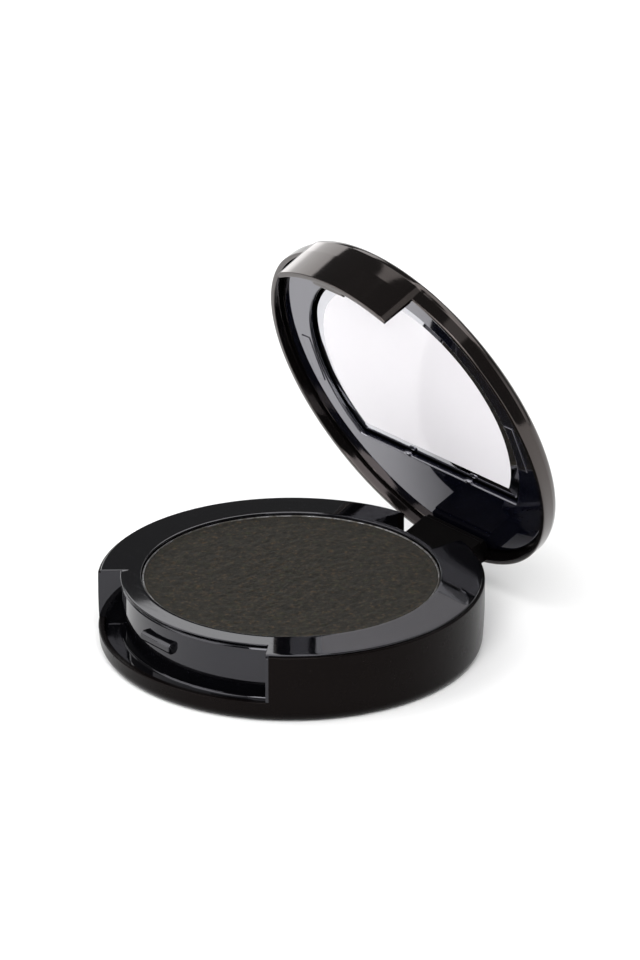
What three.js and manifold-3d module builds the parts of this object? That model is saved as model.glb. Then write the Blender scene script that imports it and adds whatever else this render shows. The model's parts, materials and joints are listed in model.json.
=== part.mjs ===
// Round single-pan eyeshadow compact: a shallow base holding one powder pan, and a
// mirrored lid that opens about a pin in the back of the base.
// Millimetres, +Z up. Origin at the centre of the underside. The thumb window faces -Y,
// the hinge is at +Y, and +X is on the viewer's right.
import * as THREE from 'three';
import * as BufferGeometryUtils from 'three/addons/utils/BufferGeometryUtils.js';
import Module from 'manifold-3d';

const wasm = await Module();
wasm.setup();

// Driving dimensions
const SIDES = 72;              // sides of a turned piece
const CASE_R = 24.0;           // outer radius of base and lid
const WALL = 0.9;              // base shell wall
const FLOOR = 1.0;             // base shell floor
const RIM_Z = 8.8;             // top of the base shell wall
const DECK_Z = 9.2;            // top of the tray's deck
const DECK_BEAD = 0.3;         // rounding of the deck's outer edge
const DECK_HOLE_R = 18.55;     // hole in the deck for the pan
const WELL_R = 20.95;          // glossy wall round the pan well, seen through the window
const WELL_FLOOR = [4.7, 5.4]; // floor of the pan well
const EJECT_R = 2.0;           // push-out hole under the pan

const WINDOW_HALF = 42.8;      // half angle of the thumb window, degrees
const SILL_Z = 2.7;            // top of the low wall across the window
const POCKET_Z = [1.3, 1.9];   // tray's floor strip in the window
const CATCH = { half: 3.0, z0: 5.35, z1: 7.0, out: 0.75 };

const PAN_R = 18.4;            // tinplate pan
const PAN_Z = [5.6, 8.9];
const PAN_SHEET = 0.3;
const POWDER_Z = 8.82;

const HINGE_Y = 21.84;         // hinge axis
const HINGE_Z = 4.01;
const PIN_R = 0.6;
const PIN_X = [-8.9, 7.3];
const PIN_GAP = { ear: 0.03, lug: 0.07, tray: 0.25 }; // round the pin, in each piece it passes
const BAY_HALF = 5.65;         // hinge notch in the back of the base
const BAY_SILL = 1.6;          // wall left under the notch
const CHEEK_HALF = 7.95;       // ears that hold the pin
const NECK_R = 19.1;           // tray wall left between the pan and the notch
const RIM_SWING = 0.18;        // kept between the lid's swinging rim and the back of the base

const LID_OPEN = 68.1;         // opening in the modelled pose, degrees from closed
const LID_Z = 9.25;            // rim plane of the closed lid
const LID_IN_R = 23.3;         // inside of the lid's rim
const LID_STRAIGHT = 1.55;     // straight part of the lid's side
const LID_EDGE_Z = 3.3;        // height where the rounded edge meets the top
const LID_EDGE_W = 6.6;        // width of the rounded edge
const LID_EDGE_N = 3.1;        // squareness of the rounded edge
const LID_TOP = 3.85;          // height of the lid at its centre
const LID_ROOF = 2.75;         // inside face of the lid's top
const TAB_HALF = 25.5;         // half angle of the front tab, degrees
const TAB_DROP = 4.68;         // tab below the lid's rim
const TAB_T = 0.95;
const LUG_HALF = 5.35;         // hinge lug
const LUG_R = 1.7;
const LUG_BACK = 1.4;          // lug's flat back, behind the hinge axis
const BEAD_HALF = 2.8;         // bead inside the tab, which clips under the catch

const LINER_Z = [1.35, 2.0];
const LINER_R = 22.85;
const RECESS = { r: 18.3, chord: 10.9 };
const MIRROR = { r: 17.75, chord: 10.4, z0: 1.9, z1: 2.45, bevel: 0.75 };
const TAPE = { r: 9.0, z0: 2.5, z1: 2.68 };

const LABEL = { r: 14.0, recess: 0.2 };

const rad = THREE.MathUtils.degToRad;

// ---- solids ---------------------------------------------------------------------------

function solid(geometry) {
  const bare = geometry.index ? geometry.toNonIndexed() : geometry.clone();
  bare.deleteAttribute('normal');
  bare.deleteAttribute('uv');
  const merged = BufferGeometryUtils.mergeVertices(bare, 1e-4);
  const p = merged.attributes.position.array;
  const tri = [];
  let volume = 0;
  for (let i = 0; i < merged.index.count; i += 3) {
    const [a, b, c] = [0, 1, 2].map((k) => merged.index.getX(i + k));
    if (a === b || b === c || a === c) continue;
    tri.push(a, b, c);
    const v = [a, b, c].map((k) => new THREE.Vector3(p[3 * k], p[3 * k + 1], p[3 * k + 2]));
    volume += v[0].dot(v[1].clone().cross(v[2])) / 6;
  }
  if (volume < 0) tri.reverse();
  return new wasm.Manifold(new wasm.Mesh({
    numProp: 3, vertProperties: new Float32Array(p), triVerts: new Uint32Array(tri),
  }));
}

// Profile points are [radius, height]; the profile turns about Z.
function turned(profile) {
  const points = profile.map(([r, z]) => new THREE.Vector2(r, z));
  return solid(new THREE.LatheGeometry(points, SIDES).rotateX(Math.PI / 2));
}

function ring(r0, r1, z0, z1) {
  return turned([[r0, z0], [r1, z0], [r1, z1], [r0, z1], [r0, z0]]);
}

function disc(r, z0, z1) {
  return turned([[0, z0], [r, z0], [r, z1], [0, z1]]);
}

function block(x0, x1, y0, y1, z0, z1) {
  const box = new THREE.BoxGeometry(x1 - x0, y1 - y0, z1 - z0);
  return solid(box.translate((x0 + x1) / 2, (y0 + y1) / 2, (z0 + z1) / 2));
}

function rod(radius, x0, x1, y, z, sides = 24) {
  const bar = new THREE.CylinderGeometry(radius, radius, x1 - x0, sides);
  return solid(bar.rotateZ(Math.PI / 2).translate((x0 + x1) / 2, y, z));
}

// A slice between two angles, both measured from the front (-Y) towards +X.
function slice(from, to, r0, r1, z0, z1) {
  const steps = Math.max(2, Math.ceil((to - from) / 5));
  const at = (r, k) => {
    const a = rad(from + ((to - from) * k) / steps);
    return new THREE.Vector2(r * Math.sin(a), -r * Math.cos(a));
  };
  const outline = [];
  for (let k = 0; k <= steps; k++) outline.push(at(r1, k));
  for (let k = steps; k >= 0; k--) outline.push(at(r0, k));
  return plate(outline, z0, z1);
}

function plate(outline, z0, z1, bevel) {
  const options = { depth: z1 - z0, bevelEnabled: false, curveSegments: 12 };
  const shape = new THREE.Shape(outline);
  return solid(new THREE.ExtrudeGeometry(shape, { ...options, ...bevel }).translate(0, 0, z0));
}

// D outline: an arc towards the front, closed by a straight chord on the hinge side.
function dOutline({ r, chord }) {
  const end = Math.asin(chord / r);
  const from = Math.PI - end;
  const to = 2 * Math.PI + end;
  const steps = 60;
  const points = [];
  for (let k = 0; k <= steps; k++) {
    const a = from + ((to - from) * k) / steps;
    points.push(new THREE.Vector2(r * Math.cos(a), r * Math.sin(a)));
  }
  return points;
}

// ---- base -----------------------------------------------------------------------------

// Clearance for the lid's rim, which swings over the back edge of the base.
function backRelief() {
  const reach = LID_Z - HINGE_Z - RIM_SWING;
  const corner = block(-13, 13, HINGE_Y, 26, HINGE_Z, 11);
  return corner.subtract(rod(reach, -14, 14, HINGE_Y, HINGE_Z, 48));
}

function baseShell() {
  const inner = CASE_R - WALL;
  const body = turned([
    [0, LABEL.recess], [LABEL.r + 0.2, LABEL.recess], [LABEL.r + 0.2, 0], [22.6, 0],
    [23.15, 0.12], [23.45, 0.4], [23.65, 0.8], [23.8, 1.6], [23.9, 2.6], [23.96, 3.8],
    [CASE_R, 5.4], [CASE_R, RIM_Z - 0.15], [CASE_R - 0.15, RIM_Z], [inner, RIM_Z],
    [inner, FLOOR + 0.25], [inner - 0.25, FLOOR], [0, FLOOR],
  ]);
  const ears = block(-CHEEK_HALF, CHEEK_HALF, 19.3, 23.6, FLOOR - 0.1, RIM_Z - 0.08)
    .intersect(disc(CASE_R - 0.4, 0, 10));
  const pinBore = rod(PIN_R + PIN_GAP.ear, PIN_X[0] - 3, PIN_X[1] + 0.05, HINGE_Y, HINGE_Z);
  return body.add(ears)
    .subtract(slice(-WINDOW_HALF, WINDOW_HALF, 21.5, 27, SILL_Z, 12))
    .subtract(block(-BAY_HALF, BAY_HALF, 18, 26, BAY_SILL, 12))
    .subtract(pinBore)
    .subtract(backRelief());
}

function innerTray() {
  const skirt = CASE_R - WALL - 0.1;
  const edge = CASE_R - 0.05;
  const deck = turned([
    [DECK_HOLE_R, DECK_Z - 0.1], [DECK_HOLE_R + 0.1, DECK_Z], [edge - DECK_BEAD, DECK_Z],
    [edge - 0.09, DECK_Z - 0.09], [edge, DECK_Z - DECK_BEAD], [edge, RIM_Z + 0.02],
    [skirt, RIM_Z + 0.02], [skirt, POCKET_Z[0]], [skirt - 0.8, POCKET_Z[0]],
    [skirt - 0.8, RIM_Z - 0.8], [WELL_R, RIM_Z - 0.8], [WELL_R, POCKET_Z[0]],
    [WELL_R - 0.9, POCKET_Z[0]], [WELL_R - 0.9, WELL_FLOOR[0]], [EJECT_R, WELL_FLOOR[0]],
    [EJECT_R, WELL_FLOOR[1]], [DECK_HOLE_R, WELL_FLOOR[1]], [DECK_HOLE_R, DECK_Z - 0.1],
  ]);
  const w = WINDOW_HALF;
  const webs = [slice(w - 0.1, w + 2.2, WELL_R - 0.3, skirt - 0.1, POCKET_Z[0], RIM_Z - 0.2),
    slice(-w - 2.2, -w + 0.1, WELL_R - 0.3, skirt - 0.1, POCKET_Z[0], RIM_Z - 0.2)];
  const window = slice(-w, w, WELL_R, 27, 0, 12);
  const strip = slice(-w - 1, w + 1, WELL_R - 0.3, skirt - 0.1, POCKET_Z[0], POCKET_Z[1]);
  const ridge = block(-CATCH.half, CATCH.half, -WELL_R - CATCH.out, -WELL_R + 1,
    CATCH.z0, CATCH.z1);
  const wide = CHEEK_HALF + 0.15;
  const bay = block(-wide, wide, 10, 26, 0, RIM_Z - 0.02)
    .add(block(-BAY_HALF, BAY_HALF, 10, 26, RIM_Z - 1, 12))
    .subtract(disc(NECK_R, -1, 13));
  const pinWay = rod(PIN_R + PIN_GAP.tray, PIN_X[0] - 2, PIN_X[1], HINGE_Y, HINGE_Z);
  return deck.add(webs[0]).add(webs[1]).subtract(window).add(strip).add(ridge)
    .subtract(bay).subtract(pinWay).subtract(backRelief());
}

function pan() {
  const [z0, z1] = PAN_Z;
  const inner = PAN_R - PAN_SHEET;
  return turned([[0, z0], [PAN_R - 0.5, z0], [PAN_R, z0 + 0.5], [PAN_R, z1], [inner, z1],
    [inner, z0 + 0.6], [inner - 0.3, z0 + PAN_SHEET], [0, z0 + PAN_SHEET]]);
}

function powderCake() {
  const r = PAN_R - PAN_SHEET - 0.02;
  const z0 = PAN_Z[0] + PAN_SHEET + 0.02;
  return turned([[0, z0], [r - 0.35, z0], [r, z0 + 0.35], [r, POWDER_Z - 0.08],
    [r - 0.08, POWDER_Z], [0, POWDER_Z]]);
}

function panAdhesive() {
  return ring(EJECT_R + 0.6, 8.0, WELL_FLOOR[1] + 0.01, PAN_Z[0] - 0.01);
}

function bottomLabel() {
  return disc(LABEL.r, 0, LABEL.recess - 0.02);
}

function hingePin() {
  return rod(PIN_R, PIN_X[0], PIN_X[1], HINGE_Y, HINGE_Z);
}

// ---- lid, drawn closed and then carried into the hinge's frame --------------------------

function lidShell() {
  const outer = [];
  for (let k = 0; k <= 12; k++) {
    const t = Math.sin((Math.PI / 2) * (k / 12));
    const r = CASE_R - LID_EDGE_W * (1 - (1 - t ** LID_EDGE_N) ** (1 / LID_EDGE_N));
    outer.push([r, LID_Z + LID_STRAIGHT + (LID_EDGE_Z - LID_STRAIGHT) * t]);
  }
  const body = turned([
    [LID_IN_R, LID_Z], [CASE_R - 0.15, LID_Z], [CASE_R, LID_Z + 0.15], ...outer,
    [11, LID_Z + LID_TOP - 0.2], [0, LID_Z + LID_TOP], [0, LID_Z + LID_ROOF],
    [17.4, LID_Z + 2.7], [20.6, LID_Z + 2.58], [22.2, LID_Z + 2.35],
    [23.0, LID_Z + 2.05], [LID_IN_R, LID_Z + 1.6], [LID_IN_R, LID_Z],
  ]);
  const tab = slice(-TAB_HALF, TAB_HALF, CASE_R - TAB_T, CASE_R, LID_Z - TAB_DROP, LID_Z + 0.6);
  const bead = block(-BEAD_HALF, BEAD_HALF, -CASE_R + TAB_T - 1.0, -CASE_R + TAB_T + 0.4,
    LID_Z - TAB_DROP + 0.05, CATCH.z0 - 0.15);
  const back = HINGE_Y + LUG_BACK;
  const lug = rod(LUG_R, -LUG_HALF, LUG_HALF, HINGE_Y, HINGE_Z)
    .add(block(-LUG_HALF, LUG_HALF, HINGE_Y - LUG_R, back, HINGE_Z, LID_Z + 0.6))
    .subtract(block(-6, 6, back, 26, 0, LID_Z));
  const root = block(-6.6, 6.6, 20.4, 22.7, LID_Z, LID_Z + 1.15);
  return body.add(tab).add(bead).add(lug).add(root)
    .subtract(rod(PIN_R + PIN_GAP.lug, -7, 7, HINGE_Y, HINGE_Z));
}

function lidLiner() {
  const [z0, z1] = LINER_Z.map((z) => LID_Z + z);
  const ringBody = turned([[12, z0], [LINER_R - 0.25, z0], [LINER_R, z0 + 0.25],
    [LINER_R - 0.1, z1 - 0.1], [LINER_R - 0.4, z1], [12, z1], [12, z0]]);
  const chordBar = plate(dOutline({ r: 15, chord: 14 }), z0, z1)
    .intersect(block(-20, 20, RECESS.chord - 0.5, 20, 0, 20));
  const pad = (s) => block(Math.min(s * 18.5, s * 20), Math.max(s * 18.5, s * 20), -3.5, 3.5,
    z0 - 0.2, z0 + 0.2);
  const hole = plate(dOutline(RECESS), z0 - 1, z1 + 1);
  return ringBody.add(chordBar).add(pad(-1)).add(pad(1)).subtract(hole);
}

function mirrorGlass() {
  const { z0, z1, bevel } = MIRROR;
  const front = plate(dOutline(MIRROR), LID_Z + z0 + 0.3, LID_Z + z1 - 0.1,
    { bevelEnabled: true, bevelThickness: 0.3, bevelSize: bevel, bevelOffset: -bevel,
      bevelSegments: 1 });
  const backing = plate(dOutline(MIRROR), LID_Z + z0 + 0.3, LID_Z + z1);
  return front.add(backing).subtract(block(-30, 30, -30, 30, LID_Z + z1, LID_Z + 5));
}

function mirrorTape() {
  return disc(TAPE.r, LID_Z + TAPE.z0, LID_Z + TAPE.z1);
}

// ---- scene graph -------------------------------------------------------------------------

function mesh(name, body, colour, roughness, metalness = 0) {
  const { vertProperties, triVerts } = body.getMesh();
  const geometry = new THREE.BufferGeometry();
  geometry.setAttribute('position', new THREE.BufferAttribute(vertProperties, 3));
  geometry.setIndex(new THREE.BufferAttribute(triVerts, 1));
  geometry.computeVertexNormals();
  const material = new THREE.MeshStandardMaterial({ color: colour, roughness, metalness });
  const piece = new THREE.Mesh(geometry, material);
  piece.name = name;
  return piece;
}

const base = new THREE.Group();
base.add(
  mesh('base_shell', baseShell(), 0x1b1718, 0.42),
  mesh('bottom_label', bottomLabel(), 0xd9d6d0, 0.7),
  mesh('inner_tray', innerTray(), 0x08080b, 0.06),
  mesh('pan_adhesive', panAdhesive(), 0xc9b98f, 0.6),
  mesh('pan', pan(), 0xb9bbbe, 0.28, 1),
  mesh('powder_cake', powderCake(), 0x3c3a35, 0.95),
  mesh('hinge_pin', hingePin(), 0xa9abad, 0.3, 1),
);

const lid = new THREE.Group();
lid.add(
  mesh('lid_shell', lidShell(), 0x1b1718, 0.4),
  mesh('lid_liner', lidLiner(), 0x09090d, 0.07),
  mesh('mirror', mirrorGlass(), 0xf2f2f5, 0.02, 1),
  mesh('mirror_tape', mirrorTape(), 0xe8e6e0, 0.8),
);
for (const piece of lid.children) piece.geometry.translate(0, -HINGE_Y, -HINGE_Z);
lid.position.set(0, HINGE_Y, HINGE_Z);
lid.rotation.x = -rad(LID_OPEN);

const compact = new THREE.Group();
compact.add(base, lid);

export default compact;
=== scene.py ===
"""Round one-pan eyeshadow compact with an open mirrored lid, on a pale floor."""
import json
import math

import bmesh
import bpy
from mathutils import Matrix, Vector, noise


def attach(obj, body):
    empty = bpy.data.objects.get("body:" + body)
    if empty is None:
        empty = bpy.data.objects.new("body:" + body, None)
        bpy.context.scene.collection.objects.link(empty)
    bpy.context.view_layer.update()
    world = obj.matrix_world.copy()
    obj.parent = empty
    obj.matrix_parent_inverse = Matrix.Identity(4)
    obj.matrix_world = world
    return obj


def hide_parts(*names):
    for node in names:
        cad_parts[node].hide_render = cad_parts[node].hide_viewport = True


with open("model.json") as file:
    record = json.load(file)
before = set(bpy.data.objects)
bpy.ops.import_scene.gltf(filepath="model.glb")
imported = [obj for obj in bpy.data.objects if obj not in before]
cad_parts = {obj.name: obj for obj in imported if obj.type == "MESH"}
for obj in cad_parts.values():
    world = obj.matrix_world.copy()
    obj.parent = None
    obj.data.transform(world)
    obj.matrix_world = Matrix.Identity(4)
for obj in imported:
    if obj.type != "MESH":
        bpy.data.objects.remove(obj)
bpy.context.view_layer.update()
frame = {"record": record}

MM = 0.001

# Dimensions in mm. They follow the CAD model's, with some walls and edges made finer.
# Base: the case
CASE_R = 23.99          # outer radius of base and lid, a hair inside the CAD's 24
WALL, FLOOR_T = 0.89, 1.0
RIM_Z = 8.8             # top of the case's wall
FOOT_W, FOOT_H = 1.35, 1.4          # rounded bottom edge
CROWN, CROWN_Z = 0.31, 6.0          # the wall bulges out this far, up to this height
LOW_ROWS = (1.75, 2.1, 2.45)        # heights of the wall's points below the sill
HIGH_ROWS = (3.2, 4.0, 4.8, 5.6, 6.4, 7.6, 8.5)     # and above it
LABEL_R, LABEL_RECESS = 14.2, 0.2   # shallow recess underneath, for the label
WINDOW_HALF = 42.8      # half angle of the thumb window, degrees
SILL_Z = 2.7            # top of the low wall across the window
BAY_HALF = 5.65         # hinge notch in the back of the base
BAY_SILL = 1.6          # wall left under the notch
BAY_MIN_R = 6.0         # the notch's sides are straight from this radius outwards
EAR_HALF = 7.4          # outer face of the ears beside the notch

# Base: the tray
DECK_Z = 9.2            # top of the deck at its hole
DECK_FALL = 0.16        # how far the deck falls from its hole to CASE_R
DECK_HOLE_R = 18.55     # hole in the deck for the pan
DECK_ROWS = (19.0, 20.0, 20.8, 22.0, 23.0)          # radii of the deck's points
BEAD_R, BEAD_Z = 23.64, 8.82        # the deck ends here, just above the case's rim
WELL_R = 20.95          # glossy wall round the pan, seen through the window
WELL_FLOOR = 5.4        # floor under the pan
EJECT_R = 2.0           # push-out hole under the pan
WEB = 0.9               # degrees of glossy web that close each end of the window
WEB_INSET = 0.04        # the webs stand this far inside the case's outer face
STRIP_Z = 1.9           # tray's floor strip in the window
TRAY_Z = 1.35           # underside of the tray
TRAY_GAP = 0.1          # between the tray and the case's wall
NECK_R = 19.1           # tray wall between the pan and the notch
RIM_SWING = 0.18        # kept between the lid's swinging rim and the back of the tray
CATCH_HALF, BEAD_HALF = 2.75, 2.8   # catch ridge on the tray, bead inside the tab

# Base: pan, powder and pin
PAN_R, PAN_SHEET = 18.42, 0.22
PAN_BOTTOM, PAN_TOP = 5.6, 8.9
POWDER_Z = 8.82
POWDER_SINK = 0.075     # the powder's top lies this far below POWDER_Z
POWDER_SWELL, POWDER_PITS = 0.065, 0.055            # heights of its swells and its pits
PITS_PER_MM = 2.8
PIN_R, PIN_CHAMFER = 0.6, 0.12
PIN_LEFT, PIN_RIGHT = -8.1, 7.3

# Lid, when closed; heights are above its rim plane
LID_Z = 9.25            # rim plane
LID_IN_R = 23.3         # inside of the rim
LID_STRAIGHT = 1.55     # straight part of the side
LID_EDGE_Z, LID_EDGE_W, LID_EDGE_N = 3.3, 6.6, 3.1  # rounded edge: height, width, squareness
LID_CREASE = 0.5        # how sharply the rounded edge breaks from the straight side
LID_TOP = 3.85          # top at the centre
ROOF_R = 17.4           # edge of the shallow dome
ROOF_ROWS = (15.5, 13.0, 10.0, 7.0, 4.0, 2.0, 0.0)  # radii of the dome's points
TAB_HALF = 25.5         # half angle of the front tab, degrees
TAB_DROP, TAB_T = 4.68, 0.95
TAB_DRAFT = 0.22        # the tab leans in this much towards its tip
TAB_CHAMFER, TAB_STEP = 2.2, 0.28   # chamfered ends: degrees wide, mm deep
TAB_FLANK = 20.0        # degrees over which the lid beside the tab swells back out
LUG_HALF, LUG_R = 5.35, 1.7
LUG_BACK = 1.4          # lug's flat back, behind the hinge axis
LINER_R, LINER_Z, LINER_BACK = 22.85, 1.35, 2.0     # radius, front face, back face
RECESS_R, RECESS_CHORD = 18.3, 10.9                 # D-shaped opening: arc radius, chord
MIRROR_R, MIRROR_CHORD, MIRROR_Z, MIRROR_BACK = 17.75, 10.4, 1.9, 2.45
MIRROR_BEVEL = 1.3
PAD_IN, PAD_OUT, PAD_HALF = 18.55, 20.0, 3.5        # raised pads at the sides of the mirror
NIB_X, NIB_HALF = 5.8, 0.6          # nibs that hold the mirror's straight edge

# How finely the curves are divided
TURN = 288              # columns round a full turn
FOOT_STEPS, EDGE_STEPS, LUG_STEPS, PIN_SIDES = 12, 24, 20, 32
POWDER_RINGS, POWDER_COLUMNS = 110, 360
ARC_STEPS, CHORD_STEPS = 180, 24        # points along a D outline's arc and chord
AXIS_R = 1e-3           # smallest radius at which an angle is asked for
SHARP_ANGLE = 50        # degrees: sharper edges are shaded as edges
BEVEL_SHARP = 2.5       # and this on the mirror, to keep its shallow bevel crisp

# Camera: degrees, mm, and the point looked at, to the right of the origin and above it
CAMERA_AZIMUTH, CAMERA_ELEVATION, CAMERA_DISTANCE = 50.0, 23.54, 768.0
TARGET_RIGHT, TARGET_UP = 3.584, 21.75
SENSOR, LENS = 36.0, 234.46

# Stage: metres, and the room's light levels
FLOOR_HALF = 3.0
ROOM_LIGHT, SWEEP_LIGHT, GLOW_LIGHT = 0.10, 1.6, 1.5

joint = frame["record"]["behaviour"]["joints"][0]
HINGE_X, HINGE_Y, HINGE_Z = (v / MM for v in joint["pos_m"])
hinge = Vector((HINGE_X, HINGE_Y, HINGE_Z)) * MM
LID_OPEN = -joint["range_deg"][0]       # the lid's rest pose, degrees from closed
to_open = (Matrix.Translation(hinge) @ Matrix.Rotation(-math.radians(LID_OPEN), 4, "X")
           @ Matrix.Translation(-hinge))


# ---- mesh helpers ----------------------------------------------------------------------

def around(r, z, angle):
    """A point at an angle measured from the front (-Y) towards +X, in degrees."""
    a = math.radians(angle)
    return (r * math.sin(a), -r * math.cos(a), z)


def rounded(points, steps=5):
    """A chain of (r, z) or (r, z, radius); a radius rounds that corner with a few steps."""
    out = []
    for i, p in enumerate(points):
        if len(p) == 2 or i in (0, len(points) - 1):
            out.append((p[0], p[1]))
            continue
        here = Vector(p[:2])
        a = (Vector(points[i - 1][:2]) - here).normalized()
        b = (Vector(points[i + 1][:2]) - here).normalized()
        half = a.angle(b) / 2
        reach = p[2] / math.tan(half)
        centre = here + (a + b).normalized() * (p[2] / math.sin(half))
        start, end = here + a * reach - centre, here + b * reach - centre
        total = start.angle(end)
        turn = 1 if start.x * end.y - start.y * end.x > 0 else -1
        for k in range(steps + 1):
            t = turn * total * k / steps
            c, s = math.cos(t), math.sin(t)
            out.append((centre.x + start.x * c - start.y * s,
                        centre.y + start.x * s + start.y * c))
    return out


class Builder:
    """Collects faces from points in mm and merges points that coincide."""

    def __init__(self):
        self.bm = bmesh.new()
        self.known = {}

    def vert(self, p):
        """The vertex at a point."""
        key = tuple(round(c, 4) for c in p)
        if key not in self.known:
            self.known[key] = self.bm.verts.new([c * MM for c in p])
        return self.known[key]

    def face(self, points):
        """Add a face, without repeated points, unless it collapses or is there already."""
        verts = []
        for p in points:
            v = self.vert(p)
            if not verts or verts[-1] is not v:
                verts.append(v)
        if verts[0] is verts[-1]:
            verts.pop()
        if len(verts) > 2 and len(set(verts)) == len(verts):
            if self.bm.faces.get(verts) is None:
                self.bm.faces.new(verts)

    def finish(self, name, body, replaces=(), slot=None, bevel=0.0, limit=38,
               shape=None, opened=False):
        """Shape and bevel the piece, carry it to the open lid if it is drawn closed, and make it.

        The bevel, in mm, goes on edges sharper than limit degrees.
        """
        bm = self.bm
        bmesh.ops.recalc_face_normals(bm, faces=bm.faces)
        if shape:
            for v in bm.verts:
                v.co = shape(v.co)
        if bevel:
            bm.normal_update()
            edges = [e for e in bm.edges if e.is_manifold
                     and e.calc_face_angle(0) > math.radians(limit)]
            bmesh.ops.bevel(bm, geom=edges, offset=bevel * MM, segments=3, profile=0.5,
                            affect="EDGES", clamp_overlap=True)
        me = bpy.data.meshes.new(name)
        bm.to_mesh(me)
        bm.free()
        if opened:
            me.transform(to_open)
        me.shade_smooth()
        me.set_sharp_from_angle(angle=math.radians(SHARP_ANGLE))
        obj = bpy.data.objects.new(name, me)
        bpy.context.scene.collection.objects.link(obj)
        weighted = obj.modifiers.new("weighted", "WEIGHTED_NORMAL")
        weighted.keep_sharp = True
        weighted.weight = 80
        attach(obj, body)
        if replaces:
            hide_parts(*replaces)
        return obj


def sector(build, section, start, end):
    """Sweep a closed section between two edges; an edge gives the angle at each radius."""
    middle = CASE_R * 0.9
    columns = max(2, round(TURN * (end(middle) - start(middle)) / 360))
    count = len(section)
    for i in range(columns):
        for j in range(count):
            (r0, z0), (r1, z1) = section[j], section[(j + 1) % count]
            quad = []
            for r, z, k in ((r0, z0, i), (r1, z1, i), (r1, z1, i + 1), (r0, z0, i + 1)):
                s, e = start(max(r, AXIS_R)), end(max(r, AXIS_R))
                quad.append(around(r, z, s + (e - s) * k / columns))
            build.face(quad)


def join(build, edge, a, b):
    """The flat face between two sections that share their first and last points."""
    first = 0
    while first + 1 < min(len(a), len(b)) and a[first + 1] == b[first + 1]:
        first += 1
    last = 1
    while last < min(len(a), len(b)) and a[-last - 1] == b[-last - 1]:
        last += 1
    ring = a[first:len(a) - last + 1] + b[first + 1:len(b) - last][::-1]
    build.face([around(r, z, edge(max(r, AXIS_R))) for r, z in ring])


def at(angle):
    """A radial edge."""
    return lambda r: angle


def bay_edge(side):
    """The straight side of the hinge notch, at a constant x."""
    return lambda r: 180 + side * math.degrees(math.asin(min(1.0, BAY_HALF / max(r, BAY_MIN_R))))


def d_outline(r, chord, inset):
    """Arc towards the front closed by a chord on the hinge side, shrunk by inset."""
    r, chord = r - inset, chord - inset
    end = math.asin(chord / r)
    pts = []
    for k in range(ARC_STEPS + 1):
        a = math.pi - end + (math.pi + 2 * end) * k / ARC_STEPS
        pts.append((r * math.cos(a), r * math.sin(a)))
    half = r * math.cos(end)
    pts += [(half - 2 * half * k / CHORD_STEPS, chord) for k in range(1, CHORD_STEPS)]
    return pts


def loft(build, loops, wrap=False):
    """Skin a row of loops of the same length; it is capped, or wraps back to its start."""
    for a, b in zip(loops, loops[1:] + loops[:1] if wrap else loops[1:]):
        n = len(a)
        for k in range(n):
            build.face([a[k], a[(k + 1) % n], b[(k + 1) % n], b[k]])
    if not wrap:
        build.face(loops[0])
        build.face(loops[-1])


def lift(outline, z):
    """A flat outline at height z."""
    return [(x, y, z) for x, y in outline]


def prism_x(name, body, outline, x0, x1, **finish):
    """An outline of (y, z) points carried along X."""
    build = Builder()
    loft(build, [[(x, y, z) for y, z in outline] for x in (x0, x1)])
    return build.finish(name, body, **finish)


# ---- materials ---------------------------------------------------------------------------

class Mat:
    """A Principled material with a few short-hands for its nodes."""

    def __init__(self, name, **sockets):
        self.m = bpy.data.materials.new(name)
        self.m.use_nodes = True
        self.nt = self.m.node_tree
        self.bsdf = next(n for n in self.nt.nodes if n.type == "BSDF_PRINCIPLED")
        for key, value in sockets.items():
            self.bsdf.inputs[key.replace("_", " ")].default_value = value
        self.object = self.nt.nodes.new("ShaderNodeTexCoord").outputs["Object"]

    def node(self, kind, link, **values):
        """A node fed by a link, with values on its other inputs."""
        n = self.nt.nodes.new("ShaderNode" + kind)
        for key, value in values.items():
            n.inputs[key.replace("_", " ")].default_value = value
        self.nt.links.new(link, n.inputs[0])
        return n

    def noise(self, size_mm, detail=3.0, rough=0.5, stretch=(1, 1, 1)):
        """Noise whose largest lumps are about size_mm across, finer where stretch is above 1."""
        k = 1000.0 / size_mm
        place = self.node("Mapping", self.object, Scale=[k * s for s in stretch])
        n = self.node("TexNoise", place.outputs[0], Scale=1.0, Detail=detail, Roughness=rough)
        return n.outputs[0]

    def ramp(self, value, *stops):
        """Grey levels along a value, from (position, level) stops."""
        n = self.node("ValToRGB", value)
        els = n.color_ramp.elements
        while len(els) < len(stops):
            els.new(0.5)
        for el, (position, level) in zip(els, stops):
            el.position = position
            el.color = (level, level, level, 1)
        return n.outputs[0]

    def span(self, value, low, high):
        """Map 0..1 to low..high."""
        return self.node("MapRange", value, To_Min=low, To_Max=high).outputs[0]

    def mix(self, factor, a, b):
        """Mix two colours, each a tuple or another node's output."""
        n = self.nt.nodes.new("ShaderNodeMix")
        n.data_type = "RGBA"
        self.nt.links.new(factor, n.inputs["Factor"])
        for slot, c in ((n.inputs[6], a), (n.inputs[7], b)):
            if isinstance(c, tuple):
                slot.default_value = (*c, 1)
            else:
                self.nt.links.new(c, slot)
        return n.outputs[2]

    def bump(self, height, strength, depth_mm, over=None):
        """Bump from a height, laid over another bump."""
        n = self.nt.nodes.new("ShaderNodeBump")
        n.inputs["Strength"].default_value = strength
        n.inputs["Distance"].default_value = depth_mm * MM
        self.nt.links.new(height, n.inputs["Height"])
        if over is not None:
            self.nt.links.new(over, n.inputs["Normal"])
        return n.outputs[0]

    def to(self, socket, output):
        """Link an output to one of the shader's sockets."""
        self.nt.links.new(output, self.bsdf.inputs[socket])

    def put(self, *objects):
        """Give every slot of the objects this material."""
        for o in objects:
            slots = o.data.materials
            for i in range(len(slots)):
                slots[i] = self.m
            if not slots:
                slots.append(self.m)


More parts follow.
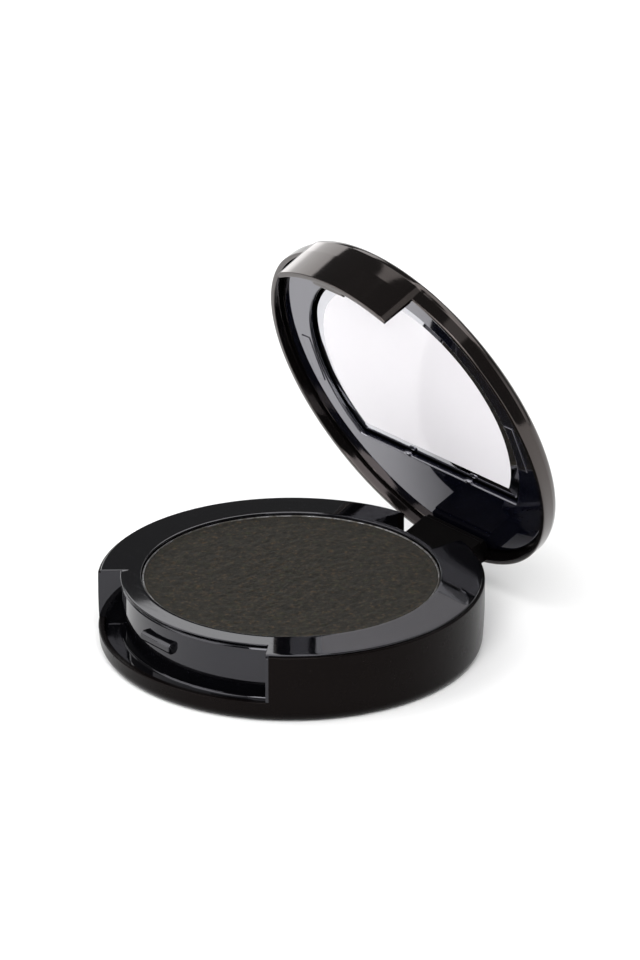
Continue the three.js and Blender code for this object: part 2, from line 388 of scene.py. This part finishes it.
def shade(colour, factor):
    """A colour made darker or lighter."""
    return tuple(c * factor for c in colour)


def satin(name, tint, level, low, high):
    """Rubbed lacquer over dark plastic: fine orange peel and an uneven, slightly warm sheen."""
    m = Mat(name, IOR=1.5, Specular_IOR_Level=level, Specular_Tint=(1.0, 0.87, 0.82, 1))
    cloud = m.noise(9.0, detail=4.0, rough=0.55)
    m.to("Base Color", m.mix(cloud, shade(tint, 0.6), shade(tint, 1.4)))
    m.to("Roughness", m.span(m.noise(2.4, detail=5.0, rough=0.6), low, high))
    peel = m.bump(m.noise(1.3, detail=2.0), strength=0.15, depth_mm=0.02)
    m.to("Normal", m.bump(m.noise(0.14, detail=2.0, rough=0.6), strength=0.16, depth_mm=0.012, over=peel))
    return m


def gloss(name, tint, ior):
    """Moulded glossy black plastic: faint waviness and a few hairlines in the polish."""
    m = Mat(name, Roughness=0.04, IOR=ior, Specular_Tint=(0.93, 0.92, 1.0, 1))
    m.to("Base Color", m.mix(m.noise(6.0), tint, shade(tint, 1.6)))
    hair = m.noise(0.8, detail=2.0, rough=0.5, stretch=(0.15, 4.0, 1.0))
    m.to("Roughness", m.ramp(hair, (0.0, 0.03), (0.62, 0.045), (0.75, 0.12)))
    m.to("Normal", m.bump(m.noise(5.0, detail=2.0), strength=0.10, depth_mm=0.02))
    return m


def tinplate():
    """Bright tinplate, dulled where powder clings to it."""
    m = Mat("tinplate")
    dust = m.ramp(m.noise(1.4, detail=5.0, rough=0.7), (0.34, 0), (0.56, 1))
    m.to("Base Color", m.mix(dust, (0.30, 0.30, 0.31), (0.05, 0.046, 0.038)))
    m.to("Metallic", m.span(dust, 1.0, 0.35))
    m.to("Roughness", m.span(dust, 0.16, 0.55))
    m.to("Normal", m.bump(m.noise(0.4), strength=0.1, depth_mm=0.01))
    return m


def pin_steel():
    """Drawn steel wire with fine scratches along it."""
    m = Mat("pin_steel", Metallic=1.0, Roughness=0.3)
    m.to("Base Color", m.mix(m.noise(1.2), (0.36, 0.36, 0.37), (0.5, 0.5, 0.51)))
    m.to("Normal", m.bump(m.noise(0.2, stretch=(0.1, 1, 1)), strength=0.15, depth_mm=0.01))
    return m


def pressed_powder():
    """Olive-charcoal powder in soft patches, with green and warm brown flecks and bright grains."""
    m = Mat("pressed_powder", Roughness=0.9, IOR=1.35, Specular_IOR_Level=0.2,
            Sheen_Weight=0.03, Sheen_Roughness=0.5)
    grain = m.noise(0.2, detail=4.0, rough=0.75)
    patch = m.noise(1.0, detail=4.0, rough=0.62)
    fleck = m.noise(0.5, detail=3.0, rough=0.62)
    olive = m.noise(0.75, detail=3.0, rough=0.6)
    tone = m.mix(m.ramp(patch, (0.3, 0), (0.7, 1)),
                 (0.0056, 0.0053, 0.0042), (0.0164, 0.0148, 0.0115))
    green = m.ramp(olive, (0.56, 0), (0.72, 0.8))
    tone = m.mix(green, tone, (0.022, 0.024, 0.012))
    warm = m.ramp(fleck, (0.55, 0), (0.72, 0.85))
    tone = m.mix(warm, tone, (0.054, 0.033, 0.016))
    bright = m.ramp(grain, (0.42, 0), (0.85, 0.6))
    m.to("Base Color", m.mix(bright, tone, (0.044, 0.039, 0.031)))
    coarse = m.bump(patch, strength=0.6, depth_mm=0.12)
    m.to("Normal", m.bump(grain, strength=0.8, depth_mm=0.06, over=coarse))
    return m


def mirror_painted_white():
    """The mirror's face painted near-white, a painted reflection of bright surroundings over a faint true
    mirror reflection.
    """
    m = Mat("mirror_painted_white", Metallic=0.04, IOR=1.45, Specular_IOR_Level=0.2)
    # Near-white base colour on the mirror's face: a painted reflection, not the glass's own colour.
    m.to("Base Color", m.mix(m.noise(12.0, detail=3.0), (0.80, 0.78, 0.81), (0.83, 0.81, 0.84)))
    m.to("Roughness", m.span(m.noise(3.0, detail=5.0, rough=0.6), 0.06, 0.13))
    m.to("Normal", m.bump(m.noise(7.0, detail=2.0), strength=0.08, depth_mm=0.02))
    return m


def mirror_glass():
    """Silvered glass, seen at the bevel and the edge."""
    m = Mat("mirror_glass", Metallic=1.0)
    m.to("Base Color", m.mix(m.noise(20.0), (0.50, 0.50, 0.53), (0.58, 0.58, 0.61)))
    m.to("Roughness", m.span(m.noise(4.0, detail=5.0, rough=0.6), 0.01, 0.05))
    return m


def foam():
    """Open-cell foam tape behind the mirror."""
    m = Mat("foam_tape", Roughness=0.9)
    m.to("Base Color", m.mix(m.noise(0.5), (0.6, 0.58, 0.55), (0.75, 0.73, 0.7)))
    m.to("Normal", m.bump(m.noise(0.3), strength=0.5, depth_mm=0.05))
    return m


def adhesive():
    """Set yellowish glue under the pan."""
    m = Mat("adhesive", Roughness=0.4)
    m.to("Base Color", m.mix(m.noise(3.0), (0.5, 0.4, 0.22), (0.6, 0.5, 0.3)))
    return m


def label_paper():
    """Blank uncoated paper."""
    m = Mat("label_paper", Roughness=0.7)
    fibre = m.noise(0.6, detail=5.0, rough=0.7)
    m.to("Base Color", m.mix(fibre, (0.64, 0.63, 0.6), (0.72, 0.71, 0.68)))
    m.to("Normal", m.bump(m.noise(0.15), strength=0.2, depth_mm=0.01))
    return m


# ---- base ---------------------------------------------------------------------------------

def side_r(z):
    """The case wall's outer radius: a slight crown that is fullest at CROWN_Z."""
    return CASE_R - CROWN * max(0.0, 1 - z / CROWN_Z) ** 2


def base_shell():
    """The case: one floor and foot, then a full wall, the window's sill or the notch's step."""
    inner, middle = CASE_R - WALL, 23.4
    foot = side_r(FOOT_H)
    low = [(inner, FOOT_H), (inner, 1.2), (inner - 0.1, 1.04), (inner - 0.3, FLOOR_T),
           (16.0, FLOOR_T), (0, FLOOR_T), (0, LABEL_RECESS), (LABEL_R, LABEL_RECESS),
           (LABEL_R, 0.0), (20.0, 0.0)]
    for k in range(FOOT_STEPS + 1):
        a = math.pi / 2 * k / FOOT_STEPS
        low.append((foot - FOOT_W * (1 - math.sin(a)), FOOT_H * (1 - math.cos(a))))
    waist, shoulder, brim = LOW_ROWS[-1], HIGH_ROWS[-1], 23.5
    rise = [(side_r(z), z) for z in LOW_ROWS]
    wall = rise + [(side_r(z), z) for z in HIGH_ROWS]
    wall += rounded([(CASE_R, shoulder), (CASE_R, RIM_Z, 0.18), (brim, RIM_Z)])[1:]
    wall += rounded([(brim, RIM_Z), (inner, RIM_Z, 0.1), (inner, shoulder)])[1:]
    wall += [(inner, 5.0), (inner, waist)]
    lip = side_r(SILL_Z)
    sill = rise + rounded([(lip, waist), (lip, SILL_Z, 0.12), (middle, SILL_Z)])[1:-1]
    sill += rounded([(middle, SILL_Z), (inner, SILL_Z, 0.12), (inner, waist)])[1:]
    step = rounded([(foot, FOOT_H), (foot, BAY_SILL, 0.08), (middle, BAY_SILL)])[1:-1]
    step += rounded([(middle, BAY_SILL), (inner, BAY_SILL, 0.08), (inner, FOOT_H)])[1:-1]
    build = Builder()
    left, right = bay_edge(1), bay_edge(-1)
    w = WINDOW_HALF + WEB
    sector(build, low + wall, at(w), right)
    sector(build, low + wall, left, at(360 - w))
    sector(build, low + sill, at(-w), at(w))
    sector(build, low + step, right, left)
    full, cut, notch = ([low[-1]] + part + [low[0]] for part in (wall, sill, step))
    for edge, other in ((at(w), cut), (at(-w), cut), (right, notch), (left, notch)):
        join(build, edge, full, other)
    return build.finish("base_case", "base", ["base_shell"], "case_satin", bevel=0.1)


def hinge_ears():
    """The blocks on both sides of the notch that hold the pin."""
    front, back, bottom, top = 19.4, 22.9, 1.05, 8.7
    outline = rounded([(front, 4.0), (front, top, 0.3), (22.3, top, 0.2), (back, 8.0),
                       (back, bottom), (front, bottom, 0.3), (front, 4.0)])[:-1]
    ears = []
    for side, name in ((1, "hinge_ear_right"), (-1, "hinge_ear_left")):
        x0, x1 = sorted((side * (BAY_HALF + 0.02), side * EAR_HALF))
        ears.append(prism_x(name, "base", outline, x0, x1, slot="case_satin", bevel=0.12))
    return ears


def steel_pin():
    """The hinge pin, with chamfered ends that stop just short of the case's outer face."""
    turns = [math.tau * k / PIN_SIDES for k in range(PIN_SIDES)]
    loops = []
    for x, r in ((PIN_LEFT, PIN_R - PIN_CHAMFER), (PIN_LEFT + PIN_CHAMFER, PIN_R),
                 (PIN_RIGHT - PIN_CHAMFER, PIN_R), (PIN_RIGHT, PIN_R - PIN_CHAMFER)):
        loops.append([(x, HINGE_Y + r * math.cos(a), HINGE_Z + r * math.sin(a)) for a in turns])
    build = Builder()
    loft(build, loops)
    return build.finish("steel_pin", "base", ["hinge_pin"], "pin_steel")


def deck_z(r):
    """The deck's height, falling evenly from its hole."""
    return DECK_Z - DECK_FALL * (r - DECK_HOLE_R) / (CASE_R - DECK_HOLE_R)


def tray_profiles():
    """The tray's underside, and its top over the deck, a web, the window and the notch."""
    skirt, hole = CASE_R - WALL - TRAY_GAP, DECK_HOLE_R
    inside, inner_lip, outer_row = DECK_ROWS[0], DECK_ROWS[2], DECK_ROWS[-1]
    under = [(EJECT_R, TRAY_Z), (EJECT_R, WELL_FLOOR), (10.0, WELL_FLOOR), (hole, WELL_FLOOR),
             (hole, 8.6)]
    under += rounded([(hole, 8.6), (hole, DECK_Z, 0.08), (inside, deck_z(inside))])[1:-1]
    foot = [(skirt, STRIP_Z - 0.1), (skirt, TRAY_Z)]
    deck = [(r, deck_z(r)) for r in DECK_ROWS]
    deck += rounded([(outer_row, deck_z(outer_row)), (BEAD_R, deck_z(BEAD_R), 0.1),
                     (BEAD_R, BEAD_Z)], 6)[1:]

    lap, shelf = CASE_R - WEB_INSET, 8.68
    web = deck + rounded([(BEAD_R, BEAD_Z), (BEAD_R - 0.2, shelf, 0.05),
                          (CASE_R - 0.1, shelf)])[1:-1]
    web += rounded([(BEAD_R, shelf), (lap, shelf, 0.12), (side_r(5.0) - WEB_INSET, 5.0)])[1:-1]
    web += [(side_r(z) - WEB_INSET, z) for z in (5.0, 4.0, 3.2, SILL_Z + 0.06)]
    web += [(skirt, SILL_Z + 0.06)] + foot
    deck += [(skirt, BEAD_Z), (skirt, 4.0)] + foot

    lip, ledge = WELL_R + 0.2, WELL_R - 0.14
    front = [(r, deck_z(r)) for r in DECK_ROWS[:3]]
    front += rounded([(inner_lip, deck_z(inner_lip)), (lip, deck_z(lip), 0.07),
                      (ledge, 8.52)])[1:-1]
    front += rounded([(lip, deck_z(lip)), (ledge, 8.52, 0.05), (WELL_R, 8.4)])[1:-1]
    front += [(WELL_R, 8.36), (WELL_R, 6.0)]
    front += rounded([(WELL_R, 6.0), (WELL_R, STRIP_Z, 0.35), (22.0, STRIP_Z)])[1:] + foot

    neck = [(inside, deck_z(inside))]
    neck += rounded([(inside, deck_z(inside)), (NECK_R + 0.1, deck_z(NECK_R), 0.1),
                     (NECK_R + 0.1, 8.6)])[1:]
    neck += [(NECK_R, 8.4), (NECK_R, 4.0), (NECK_R, TRAY_Z)]
    return under, deck, web, front, neck


def inner_tray():
    """The glossy tray: deck, well and the floor strip seen through the window."""
    under, deck, web, front, neck = tray_profiles()
    build = Builder()
    left, right = bay_edge(1), bay_edge(-1)
    w, v = WINDOW_HALF, WINDOW_HALF + WEB
    sector(build, under + deck, at(v), right)
    sector(build, under + deck, left, at(360 - v))
    sector(build, under + web, at(w), at(v))
    sector(build, under + web, at(-v), at(-w))
    sector(build, under + front, at(-w), at(w))
    sector(build, under + neck, right, left)
    full, webbed, cut, bay = ([under[-1]] + part + [under[0]] for part in (deck, web, front, neck))
    for edge, a, b in ((at(v), full, webbed), (at(-v), full, webbed), (at(w), webbed, cut),
                       (at(-w), webbed, cut), (right, full, bay), (left, full, bay)):
        join(build, edge, a, b)
    reach = LID_Z - HINGE_Z - RIM_SWING

    def relief(co):
        """The back edge is eased so that the lid's rim swings over it."""
        y, z = co.y / MM - HINGE_Y, co.z / MM - HINGE_Z
        if y > 0 and z > 0 and y * y + z * z > reach * reach:
            co.z = (HINGE_Z + math.sqrt(max(reach * reach - y * y, 0))) * MM
        return co

    return build.finish("tray", "base", ["inner_tray"], "tray_gloss", bevel=0.08, shape=relief)


def catch_ridge():
    """A small ledge on the wall behind the window, which the lid's tab clips under."""
    root, front = -WELL_R + 0.3, -WELL_R - 0.72
    outline = rounded([(root, 6.1), (root, 6.85), (-WELL_R - 0.4, 6.85, 0.2), (front, 6.5, 0.15),
                       (front, 5.85, 0.15), (-WELL_R - 0.3, 5.4, 0.15), (root, 5.4), (root, 6.1)])
    return prism_x("tray_catch", "base", outline[:-1], -CATCH_HALF, CATCH_HALF, slot="tray_gloss",
                   bevel=0.16)


def pan():
    """A pressed tinplate dish with a rolled rim."""
    z0, z1, r = PAN_BOTTOM, PAN_TOP, PAN_R
    inner, crest, roll, half_up = r - PAN_SHEET, r - PAN_SHEET / 2, 0.09, 7.0
    floor = z0 + 0.3
    section = [(0, z0)] + rounded([(10, z0), (r, z0, 0.5), (r, half_up)])
    section += rounded([(r, half_up), (r, z1, roll), (crest, z1)])[1:-1]
    section += rounded([(crest, z1), (inner, z1, roll), (inner, half_up)])[1:]
    section += rounded([(inner, half_up), (inner, floor, 0.3), (10, floor)])[1:] + [(0, floor)]
    build = Builder()
    sector(build, section, at(0), at(360))
    return build.finish("powder_pan", "base", ["pan"], "tinplate")


def powder():
    """Pressed powder: a solid cake whose top carries the press cloth's uneven grain."""
    r, z0 = PAN_R - PAN_SHEET - 0.02, PAN_BOTTOM + 0.32
    section = [(0, z0), (r - 0.35, z0), (r, z0 + 0.35), (r, POWDER_Z - 0.1)]
    section += [(r - 0.03, POWDER_Z - 0.03)]
    section += [((r - 0.12) * k / POWDER_RINGS, POWDER_Z) for k in range(POWDER_RINGS, -1, -1)]
    build = Builder()
    for i in range(POWDER_COLUMNS):
        a, b = 360 * i / POWDER_COLUMNS, 360 * (i + 1) / POWDER_COLUMNS
        for (r0, za), (r1, zb) in zip(section, section[1:]):
            build.face([around(r0, za, a), around(r1, zb, a), around(r1, zb, b), around(r0, za, b)])

    def grain_height(co):
        """Lower the top by POWDER_SINK, less or more by swells and pits, none at its edge."""
        if co.z < (POWDER_Z - 0.02) * MM:
            return co
        p = co / MM
        swell = noise.fractal(Vector((p.x, p.y, 1.7)), 0.7, 2.1, 4)
        pits = noise.noise(Vector((p.x * PITS_PER_MM, p.y * PITS_PER_MM, 5.0)))
        edge = min(1.0, (r - p.xy.length) / 0.8)
        co.z += (POWDER_SWELL * swell + POWDER_PITS * pits - POWDER_SINK) * edge * MM
        return co

    return build.finish("powder", "base", ["powder_cake"], "pressed_powder", shape=grain_height)


# ---- lid, drawn closed and then turned to its rest pose --------------------------------------

def lid_roof():
    """The lid's outside, from the top of its straight side to its centre."""
    outside = []
    for k in range(EDGE_STEPS + 1):
        t = math.sin(math.pi / 2 * k / EDGE_STEPS)
        r = CASE_R - LID_EDGE_W * (1 - max(0.0, 1 - t ** LID_EDGE_N) ** (1 / LID_EDGE_N))
        z = LID_Z + LID_STRAIGHT + (LID_EDGE_Z - LID_STRAIGHT) * t
        outside.append((r - LID_CREASE * t * (1 - t), z))
    for r in ROOF_ROWS:
        rise = (LID_TOP - LID_EDGE_Z) * (1 - (r / ROOF_R) ** 2)
        outside.append((r, LID_Z + LID_EDGE_Z + rise))
    return outside


def lid_tab():
    """The tab's profile, from the inside of the lid's rim round its tip to the outside."""
    tip, face, toe = LID_Z - TAB_DROP, CASE_R - TAB_T, CASE_R - TAB_DRAFT
    middle, bend = 23.4, LID_Z - 0.4
    tab = [(LID_IN_R, LID_Z + 0.1), (face, LID_Z - 0.25), (face, LID_Z - 2.0)]
    tab += rounded([(face, LID_Z - 2.0), (face, tip, 0.1), (middle, tip)])[1:-1]
    tab += rounded([(middle, tip), (toe, tip, 0.1), (CASE_R, bend)])[1:-1]
    tab += rounded([(toe, tip), (CASE_R, bend, 1.5), (CASE_R, LID_Z + 0.5)])[1:-1]
    return tab


def lid_shell():
    """The domed lid with its front tab, a raised panel in its side."""
    under = [(0, LID_Z + 2.75), (ROOF_R, LID_Z + 2.7), (20.6, LID_Z + 2.58),
             (22.2, LID_Z + 2.35), (23.0, LID_Z + 2.05), (LID_IN_R, LID_Z + 1.6),
             (LID_IN_R, LID_Z + 0.5)]
    body = [(CASE_R, LID_Z + 0.5)] + lid_roof() + under
    rim = rounded([(LID_IN_R, LID_Z + 0.5), (LID_IN_R, LID_Z, 0.1), (23.6, LID_Z)])[1:-1]
    rim += rounded([(23.6, LID_Z), (CASE_R, LID_Z, 0.14), (CASE_R, LID_Z + 0.5)])[1:-1]
    tab = lid_tab()
    inner = TAB_HALF - TAB_CHAMFER
    build = Builder()
    sector(build, body + rim, at(TAB_HALF), at(360 - TAB_HALF))
    for start, end in ((-TAB_HALF, -inner), (-inner, inner), (inner, TAB_HALF)):
        sector(build, body + tab, at(start), at(end))
    for edge in (at(TAB_HALF), at(-TAB_HALF)):
        join(build, edge, [body[-1]] + tab + [body[0]], [body[-1]] + rim + [body[0]])

    def flank(co):
        """Chamfer the tab's ends down to the lid's side, which dips beside them."""
        x, y, z = co / MM
        r, angle = math.hypot(x, y), abs(math.degrees(math.atan2(x, -y)))
        if angle <= inner or r < LID_IN_R:
            return co
        if angle <= TAB_HALF:
            depth = (angle - inner) / TAB_CHAMFER
        else:
            depth = max(0.0, 1 - (angle - TAB_HALF) / TAB_FLANK)
            depth = depth * depth * (3 - 2 * depth)
        outside = min(1.0, (r - LID_IN_R) / 0.45)
        below = min(1.0, max(0.0, (LID_Z + LID_EDGE_Z - z) / 1.6))
        scale = 1 - TAB_STEP * depth * outside * below / r
        co.x, co.y = co.x * scale, co.y * scale
        return co

    return build.finish("lid_case", "lid", ["lid_shell"], "lid_satin", bevel=0.08, limit=30,
                        shape=flank, opened=True)


def hinge_lug():
    """The lug that turns on the pin: round in front, flat behind."""
    back = HINGE_Y + LUG_BACK
    outline = [(HINGE_Y - LUG_R, LID_Z + 0.5)]
    for k in range(LUG_STEPS + 1):
        a = math.pi * k / LUG_STEPS * 0.86
        outline.append((HINGE_Y - LUG_R * math.cos(a), HINGE_Z - LUG_R * math.sin(a)))
    outline += [(back, HINGE_Z + 0.2), (back, LID_Z - 0.05), (HINGE_Y + 1.9, LID_Z + 0.5)]
    return prism_x("hinge_lug", "lid", outline, -LUG_HALF, LUG_HALF, slot="lid_satin", bevel=0.2,
                   opened=True)


def hinge_root():
    """The block inside the lid's rim that the lug grows from."""
    front, back, low, high = 20.4, 22.9, LID_Z + 0.05, LID_Z + 1.15
    outline = rounded([(back, LID_Z + 0.7), (back, high), (front, high, 0.2), (front, low, 0.5),
                       (back, low), (back, LID_Z + 0.7)])[:-1]
    return prism_x("hinge_root", "lid", outline, -LUG_HALF, LUG_HALF, slot="lid_satin",
                   bevel=0.15, opened=True)


def tab_bead():
    """The bead inside the tab that clips under the tray's ridge."""
    y, z = -CASE_R + TAB_T, LID_Z - TAB_DROP
    root, shoulder = y - 0.3, y + 0.6
    outline = rounded([(root, z + 0.3), (root, z + 0.06), (shoulder, z + 0.06, 0.15),
                       (y + 0.98, z + 0.32, 0.12), (shoulder, z + 0.6, 0.15), (root, z + 0.6),
                       (root, z + 0.3)])[:-1]
    return prism_x("tab_bead", "lid", outline, -BEAD_HALF, BEAD_HALF, slot="lid_satin", bevel=0.1,
                   opened=True)


def mirror_frame():
    """The liner: a ring that fills the lid, with a D-shaped opening for the mirror."""
    z0, z1 = LID_Z + LINER_Z, LID_Z + LINER_BACK
    hole = [lift(d_outline(RECESS_R, RECESS_CHORD, inset), z)
            for inset, z in ((0, z1), (0, z0 + 0.2), (-0.04, z0 + 0.09), (-0.1, z0 + 0.03),
                             (-0.2, z0))]
    turns = [math.atan2(y, x) for x, y, _ in hole[0]]
    rim = [[(r * math.cos(a), r * math.sin(a), z) for a in turns]
           for r, z in ((22.55, z0), (22.72, z0 + 0.03), (22.82, z0 + 0.12),
                        (LINER_R, z0 + 0.3), (22.75, z1 - 0.08), (22.45, z1))]
    build = Builder()
    loft(build, hole + rim, wrap=True)
    return build.finish("mirror_frame", "lid", ["lid_liner"], "liner_gloss", opened=True)


def frame_pads():
    """Low pads on the liner, on both sides of the mirror."""
    z0 = LID_Z + LINER_Z
    pads = []
    for side, name in ((1, "frame_pad_right"), (-1, "frame_pad_left")):
        loops = []
        for inset, z in ((0, z0 + 0.1), (0, z0 - 0.07), (0.03, z0 - 0.11), (0.09, z0 - 0.13)):
            x0, x1, y = side * (PAD_IN + inset), side * (PAD_OUT - inset), PAD_HALF - inset
            loops.append([(x0, -y, z), (x1, -y, z), (x1, 0, z), (x1, y, z), (x0, y, z), (x0, 0, z)])
        build = Builder()
        loft(build, loops)
        pads.append(build.finish(name, "lid", slot="liner_gloss", opened=True))
    return pads


def mirror_nibs():
    """Nibs at the straight edge of the opening that hold the mirror in."""
    z0, z1 = LID_Z + LINER_Z, LID_Z + LINER_BACK
    nibs = []
    for number, x in ((1, -NIB_X), (2, NIB_X)):
        loops = []
        for inset, z in ((0.0, z1 - 0.12), (0.0, z0 + 0.1), (0.05, z0), (0.14, z0 - 0.05)):
            x0, x1 = x - NIB_HALF + inset, x + NIB_HALF - inset
            y0, y1 = RECESS_CHORD - 0.3 + inset, RECESS_CHORD + 0.3 - inset
            loops.append([(x0, y0, z), (x, y0 - 0.05, z), (x1, y0, z), (x1, y1, z), (x, y1, z),
                          (x0, y1, z)])
        build = Builder()
        loft(build, loops)
        nibs.append(build.finish(f"mirror_nib_{number}", "lid", slot="liner_gloss", opened=True))
    return nibs


def mirror(glass, painted_face):
    """The bevelled D-shaped mirror; its flat face gets the near-white painted reflection and glass covers
    the rest.
    """
    z0, z1 = LID_Z + MIRROR_Z, LID_Z + MIRROR_BACK
    loops = [lift(d_outline(MIRROR_R, MIRROR_CHORD, inset), z)
             for inset, z in ((0.02, z1), (0, z1 - 0.03), (0, z0 + 0.14), (0.03, z0 + 0.1),
                              (MIRROR_BEVEL, z0 + 0.005), (MIRROR_BEVEL + 0.04, z0))]
    build = Builder()
    loft(build, loops)
    obj = build.finish("mirror_plate", "lid", ["mirror"], "mirror_glass", opened=True)
    obj.data.set_sharp_from_angle(angle=math.radians(BEVEL_SHARP))
    glass.put(obj)
    # The second material, on the flat face, is the near-white painted reflection.
    obj.data.materials.append(painted_face.m)
    back_and_face = sorted(obj.data.polygons, key=lambda f: -f.area)[:2]
    face = min(back_and_face, key=lambda f: f.center.y)
    face.material_index = 1


# ---- the object: each piece with its material -------------------------------------------------

case_satin = satin("case_satin", (0.0021, 0.0015, 0.0015), level=0.06, low=0.22, high=0.31)
lid_satin = satin("lid_satin", (0.0022, 0.0018, 0.0018), level=0.8, low=0.055, high=0.11)
hinge_black = satin("hinge_black", (0.0016, 0.0015, 0.0015), level=0.04, low=0.30, high=0.42)
tray_gloss = gloss("tray_gloss", (0.0012, 0.0012, 0.0016), ior=1.52)
liner_gloss = gloss("liner_gloss", (0.0016, 0.0018, 0.0040), ior=2.5)

case_satin.put(base_shell(), *hinge_ears())
tray_gloss.put(inner_tray(), catch_ridge())
tinplate().put(pan())
pin_steel().put(steel_pin())
pressed_powder().put(powder())
lid_satin.put(lid_shell(), tab_bead())
hinge_black.put(hinge_lug(), hinge_root())
liner_gloss.put(mirror_frame(), *frame_pads(), *mirror_nibs())
# The mirror's flat face carries a near-white painted reflection.
mirror(mirror_glass(), mirror_painted_white())
adhesive().put(bpy.data.objects["pan_adhesive"])
foam().put(bpy.data.objects["mirror_tape"])
label_paper().put(bpy.data.objects["bottom_label"])


# ---- stage --------------------------------------------------------------------------------------

def pale_floor():
    """A plain pale square, FLOOR_HALF metres each way from the object."""
    s = FLOOR_HALF
    me = bpy.data.meshes.new("floor")
    me.from_pydata([(-s, -s, 0), (s, -s, 0), (s, s, 0), (-s, s, 0)], [], [(0, 1, 2, 3)])
    floor = bpy.data.objects.new("floor", me)
    bpy.context.scene.collection.objects.link(floor)
    m = Mat("floor_pale", Roughness=0.8)
    m.to("Base Color", m.mix(m.noise(60.0), (0.88, 0.88, 0.88), (0.90, 0.90, 0.90)))
    m.put(floor)


def room_light():
    """A dim room with a light sweep low on the left and a soft glow behind on the right."""
    world = bpy.data.worlds.new("studio")
    bpy.context.scene.world = world
    world.use_nodes = True
    nt = world.node_tree
    back = nt.nodes["Background"]
    coord = nt.nodes.new("ShaderNodeTexCoord")
    xyz = nt.nodes.new("ShaderNodeSeparateXYZ")
    nt.links.new(coord.outputs["Generated"], xyz.inputs[0])

    def step(axis, low, high):
        """0 to 1 as the direction's axis goes from low to high."""
        n = nt.nodes.new("ShaderNodeMapRange")
        n.interpolation_type = "SMOOTHSTEP"
        n.inputs["From Min"].default_value = low
        n.inputs["From Max"].default_value = high
        nt.links.new(xyz.outputs[axis], n.inputs["Value"])
        return n.outputs[0]

    def combine(operation, a, b):
        """A math node on two values, each a number or another node's output."""
        n = nt.nodes.new("ShaderNodeMath")
        n.operation = operation
        for socket, value in zip(n.inputs, (a, b)):
            if isinstance(value, float):
                socket.default_value = value
            else:
                nt.links.new(value, socket)
        return n.outputs[0]

    sweep = combine("MULTIPLY", step("Z", 0.26, 0.14), step("X", 0.25, -0.2))
    glow = combine("MULTIPLY", step("X", 0.3, 0.8), step("Y", 0.45, 0.8))
    both = combine("ADD", combine("MULTIPLY", sweep, SWEEP_LIGHT),
                   combine("MULTIPLY", glow, GLOW_LIGHT))
    nt.links.new(combine("ADD", both, ROOM_LIGHT), back.inputs["Strength"])
    back.inputs["Color"].default_value = (1, 1, 1, 1)


def softbox(name, place, size, radiance):
    """A rectangular area light that faces the object, in metres."""
    light = bpy.data.lights.new(name, "AREA")
    light.shape = "RECTANGLE"
    light.size, light.size_y = size
    light.energy = radiance * math.pi * size[0] * size[1]
    obj = bpy.data.objects.new(name, light)
    obj.location = place
    obj.rotation_euler = Vector(place).to_track_quat("Z", "Y").to_euler()
    bpy.context.scene.collection.objects.link(obj)


def softboxes():
    """Two keys in front, cards above and behind for the reflections, and a low fill."""
    softbox("key_right", (1.5, -1.4, 2.1), (2.1, 2.1), 7.0)
    softbox("key_left", (-1.1, -1.5, 2.3), (2.6, 2.2), 2.5)
    softbox("top_back_light", (0.2, 1.6, 1.9), (1.6, 1.3), 1.8)
    softbox("overhead_card", (1.0, 0.42, 2.1), (2.2, 0.75), 0.5)
    softbox("tab_card", (-0.6, 0.66, 2.1), (1.1, 0.75), 1.1)
    softbox("left_light", (-2.3, 0.78, 0.76), (0.85, 1.5), 2.0)
    softbox("rear_card", (-1.75, 1.43, 1.48), (0.62, 0.66), 2.0)
    softbox("front_fill", (-0.9, -2.6, 0.6), (2.4, 1.0), 3.8)


def camera():
    """Looks down from the front right, at a point above the case."""
    azimuth, elevation = math.radians(CAMERA_AZIMUTH), math.radians(CAMERA_ELEVATION)
    right = Vector((math.cos(azimuth), math.sin(azimuth), 0))
    back = Vector((math.sin(azimuth) * math.cos(elevation),
                   -math.cos(azimuth) * math.cos(elevation), math.sin(elevation)))
    cam = bpy.data.cameras.new("camera")
    cam.sensor_fit = "VERTICAL"
    cam.sensor_height = SENSOR
    cam.lens = LENS
    cam.clip_start, cam.clip_end = 0.01, 20
    obj = bpy.data.objects.new("camera", cam)
    target = right * TARGET_RIGHT + Vector((0, 0, TARGET_UP))
    rotation = Matrix((right, back.cross(right), back)).transposed().to_4x4()
    obj.matrix_world = Matrix.Translation((target + back * CAMERA_DISTANCE) * MM) @ rotation
    bpy.context.scene.collection.objects.link(obj)
    bpy.context.scene.camera = obj


pale_floor()
room_light()
softboxes()
camera()
bpy.context.scene.view_settings.view_transform = "Standard"
